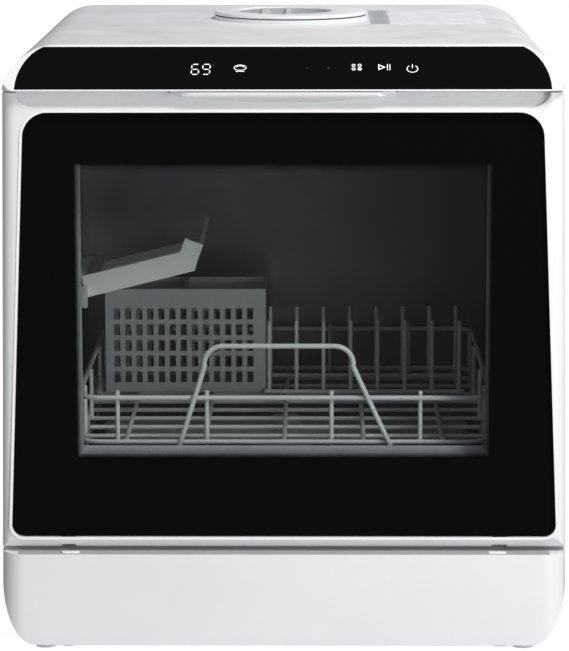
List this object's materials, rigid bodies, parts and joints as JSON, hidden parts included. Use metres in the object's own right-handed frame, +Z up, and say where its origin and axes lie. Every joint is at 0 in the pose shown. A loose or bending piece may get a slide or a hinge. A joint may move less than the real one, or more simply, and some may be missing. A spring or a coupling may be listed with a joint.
{
  "type": "countertop dishwasher",
  "caption": "Free-standing box dishwasher with a drop-down glazed door, a pull-out wire rack, a sloping touch panel and a round water filler cap on top.",
  "frame": {"origin": "bottom centre of the whole machine, on the table under its feet", "axes": "+X to the right seen from the front, +Y to the back, +Z up; the door is on the -Y side"},
  "size_m": [0.42, 0.43, 0.4602],
  "materials": {
    "white_abs": "satin moulded",
    "white_steel": "smooth powder coat",
    "grey_plastic": "fine texture",
    "dark_plastic": "moulded",
    "panel_glass": "high gloss",
    "door_glass": "tempered, printed border",
    "clear_glass": "clear tempered",
    "tub_steel": "satin",
    "seal_rubber": "moulded",
    "foot_rubber": "moulded",
    "zinc_steel": "zinc plated",
    "coated_wire": "nylon coated",
    "circuit_board": "solder mask",
    "tank_plastic": "blow moulded",
    "float_foam": "foamed"
  },
  "bodies": {
    "casing": {"base_tray": "grey_plastic", "outer_wrap": "white_steel", "back_panel": "white_steel", "kick_panel": "white_abs", "control_fascia": "white_abs", "control_panel": "panel_glass", "control_board": "circuit_board", "front_frame": "grey_plastic", "tub": "tub_steel", "door_seal": "seal_rubber", "catch_clip": "zinc_steel", "door_sensor": "dark_plastic", "hinge_brackets": "zinc_steel", "hinge_pins": "zinc_steel", "sump": "grey_plastic", "filter_plate": "tub_steel", "wash_pump": "dark_plastic", "drain_pump": "dark_plastic", "supply_manifold": "grey_plastic", "water_heater": "zinc_steel", "inlet_valve": "white_abs", "hose_well": "grey_plastic", "cord_gland": "dark_plastic", "water_tank": "tank_plastic", "fill_funnel": "tank_plastic", "filler_collar": "white_abs", "vent_grille": "grey_plastic", "vent_duct": "grey_plastic", "cover_plate": "white_abs", "fan_housing": "dark_plastic", "power_board": "circuit_board", "float_switch": "dark_plastic", "rubber_feet": "foot_rubber", "casing_screws": "zinc_steel", "shelf_bracket": "grey_plastic", "spray_hub": "grey_plastic", "spray_nut": "grey_plastic"},
    "door": {"door_frame": "white_abs", "door_glass": "door_glass", "inner_panel": "grey_plastic", "inner_glass": "clear_glass", "handle_lip": "white_abs", "detergent_cup": "grey_plastic", "door_tongue": "grey_plastic", "hinge_dampers": "dark_plastic"},
    "rack": {"dish_rack": "coated_wire", "rack_handle": "coated_wire", "plate_tines": "coated_wire", "rack_glides": "grey_plastic"},
    "filler_cap": {"filler_cap": "white_abs", "cap_ring": "seal_rubber"},
    "filter_cup": {"filter_cup": "grey_plastic"},
    "wash_impeller": {"wash_impeller": "grey_plastic"},
    "drain_impeller": {"drain_impeller": "grey_plastic"},
    "fan_wheel": {"fan_wheel": "grey_plastic"},
    "leak_float": {"leak_float": "float_foam"},
    "cup_shelf": {"cup_shelf": "coated_wire"},
    "spray_arm": {"spray_arm": "grey_plastic"},
    "detergent_lid": {"detergent_lid": "grey_plastic"},
    "cutlery_basket": {"cutlery_basket": "grey_plastic"}
  },
  "joints": [
    {"name": "door_hinge", "type": "hinge", "parent": "casing", "child": "door", "pos_m": [0, -0.196, 0.093], "axis": [1, 0, 0], "range_deg": [0, 90]},
    {"name": "rack_slide", "type": "slide", "parent": "casing", "child": "rack", "axis": [0, -1, 0], "range_m": [0, 0.126]},
    {"name": "cutlery_lift", "type": "slide", "parent": "rack", "child": "cutlery_basket", "axis": [0, 0, 1], "range_m": [0, 0.0345]},
    {"name": "spray_spin", "type": "hinge", "parent": "casing", "child": "spray_arm", "pos_m": [0, -0.0088, 0.13], "axis": [0, 0, 1], "continuous": true},
    {"name": "cap_lift", "type": "slide", "parent": "casing", "child": "filler_cap", "axis": [0, 0, 1], "range_m": [0, 0.018]},
    {"name": "lid_slide", "type": "slide", "parent": "door", "child": "detergent_lid", "axis": [1, 0, 0], "range_m": [0, 0.036]},
    {"name": "shelf_fold", "type": "hinge", "parent": "casing", "child": "cup_shelf", "pos_m": [-0.1528, 0, 0.262], "axis": [0, -1, 0], "range_deg": [0, 60]},
    {"name": "filter_turn", "type": "hinge", "parent": "casing", "child": "filter_cup", "pos_m": [0.084, -0.084, 0.1], "axis": [0, 0, 1], "range_deg": [0, 45]},
    {"name": "wash_spin", "type": "hinge", "parent": "casing", "child": "wash_impeller", "pos_m": [0, 0.024, 0.057], "axis": [1, 0, 0], "continuous": true},
    {"name": "drain_spin", "type": "hinge", "parent": "casing", "child": "drain_impeller", "pos_m": [0, -0.084, 0.046], "axis": [1, 0, 0], "continuous": true},
    {"name": "fan_spin", "type": "hinge", "parent": "casing", "child": "fan_wheel", "pos_m": [0.0965, 0.076, 0.41], "axis": [0, 0, 1], "continuous": true},
    {"name": "float_rise", "type": "slide", "parent": "casing", "child": "leak_float", "axis": [0, 0, 1], "range_m": [0, 0.008]}
  ],
  "couplings": [
    {"joint": "rack_slide", "follows": "door_hinge", "m_per_rad": 0.08}
  ]
}
